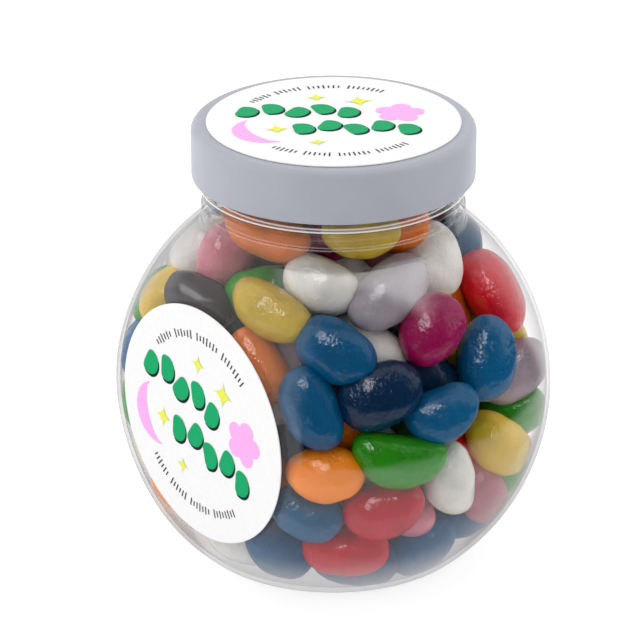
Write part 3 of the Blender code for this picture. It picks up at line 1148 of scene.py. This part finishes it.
def build_light():
    """A small light overhead, for the shading of matt surfaces and the shadow on the floor."""
    light = bpy.data.lights.new("overhead_softbox", "AREA")
    light.shape = "ELLIPSE"
    light.size, light.size_y = LIGHT_SIZE
    light.energy = LIGHT_POWER
    ob = bpy.data.objects.new("overhead_softbox", light)
    bpy.context.scene.collection.objects.link(ob)
    out = Vector(direction(CAMERA_AZIMUTH + LIGHT_TURN, LIGHT_ELEVATION))
    ob.location = Vector(CENTRE) + out * LIGHT_DISTANCE
    look_back(ob, out)
    # the jar's wall leaves it out, and mirror images do too: they show the tent
    lit = bpy.data.collections.new("overhead_softbox_receivers")
    for piece in bpy.context.scene.objects:
        if piece.type == "MESH" and piece.name != "jar_wall":
            lit.objects.link(piece)
    ob.light_linking.receiver_collection = lit
    ob.visible_glossy = False


def build_world():
    """A light tent, of which each kind of ray gets its own share.

    The camera sees white. Matt surfaces are lit from both sides, and less from the front and
    from above. The gloss of the jar, the lid and the labels mirrors a tent with a dark open
    front and a bright panel overhead. The gloss of the beans, which is seen through the wall,
    mirrors bright sides and a small bright window high on the left.
    """
    world = bpy.data.worlds.new("studio")
    bpy.context.scene.world = world
    world.use_nodes = True
    tree = world.node_tree
    tree.nodes.clear()
    vector = tree.nodes.new("ShaderNodeTexCoord").outputs["Generated"]
    path = tree.nodes.new("ShaderNodeLightPath")
    opening = in_opening(tree, vector, 0.10, 0.16)
    left = toward(tree, vector, *TENT_LEFT_SIDE)
    right = toward(tree, vector, *TENT_RIGHT_SIDE)
    front = toward(tree, vector, *TENT_FRONT)
    high = beyond(tree, vector, (0.0, 0.0, 1.0), *TENT_ROOF)
    # the overhead panel
    near = toward(tree, vector, 0.0, 0.0, PANEL_NEAR, 0.10)
    far = toward(tree, vector, 0.0, 0.0, -PANEL_FAR, 0.07)
    panel = product(tree, math_node(tree, "SUBTRACT", far, near), high)
    for turn, reach in ((-90.0, PANEL_LEFT), (90.0, PANEL_RIGHT)):
        outside = toward(tree, vector, turn, 0.0, reach, 0.10)
        inside = math_node(tree, "SUBTRACT", 1.0, outside)
        panel = product(tree, panel, inside)
    panel = product(tree, panel, path.outputs["Is Glossy Ray"])
    # what the gloss of the jar, the lid and the labels mirrors
    gloss = blend(tree, left, TENT_BASE, TENT_LEFT)
    gloss = blend(tree, right, gloss, TENT_RIGHT)
    gloss = blend(tree, opening, gloss, OPENING_LIGHT)
    gloss = blend(tree, panel, gloss, TENT_TOP)
    # what lights matt surfaces
    matt = blend(tree, left, MATT_BASE, MATT_LEFT)
    matt = blend(tree, right, matt, MATT_RIGHT)
    matt = blend(tree, front, matt, MATT_FRONT)
    matt = blend(tree, high, matt, MATT_HIGH)
    # what the gloss of the beans mirrors
    sides = toward(tree, vector, *BEAN_SIDES)
    window = toward(tree, vector, *BEAN_WINDOW)
    candy = blend(tree, sides, BEAN_DARK, BEAN_SIDES_LIGHT)
    candy = blend(tree, window, candy, BEAN_WINDOW_LIGHT)
    gloss = blend(tree, through_wall(tree, path), gloss, candy)
    seen = blend(tree, path.outputs["Is Camera Ray"], gloss, BACKDROP_LIGHT)
    seen = blend(tree, path.outputs["Is Diffuse Ray"], seen, matt)
    back = tree.nodes.new("ShaderNodeBackground")
    back.inputs["Color"].default_value = (1.0, 1.0, 1.0, 1.0)
    tree.links.new(seen, back.inputs["Strength"])
    out = tree.nodes.new("ShaderNodeOutputWorld")
    tree.links.new(back.outputs["Background"], out.inputs["Surface"])


def build_camera():
    cam = bpy.data.cameras.new("camera")
    ob = bpy.data.objects.new("camera", cam)
    bpy.context.scene.collection.objects.link(ob)
    cam.lens = CAMERA_LENS
    cam.sensor_width = CAMERA_SENSOR
    cam.clip_start = 0.01
    cam.clip_end = 20.0
    out = Vector(VIEW)
    ob.location = Vector(CENTRE) + out * CAMERA_DISTANCE
    right = Vector(direction(CAMERA_AZIMUTH + 90.0, 0.0))
    up = out.cross(right)
    look_back(ob, out + right * AIM_LEFT - up * AIM_UP)
    bpy.context.scene.camera = ob


# ==== build
bpy.context.scene.view_settings.view_transform = "Standard"
build_jar()
build_lid()
build_labels()
build_beans()
build_floor()
build_world()
build_camera()
build_light()
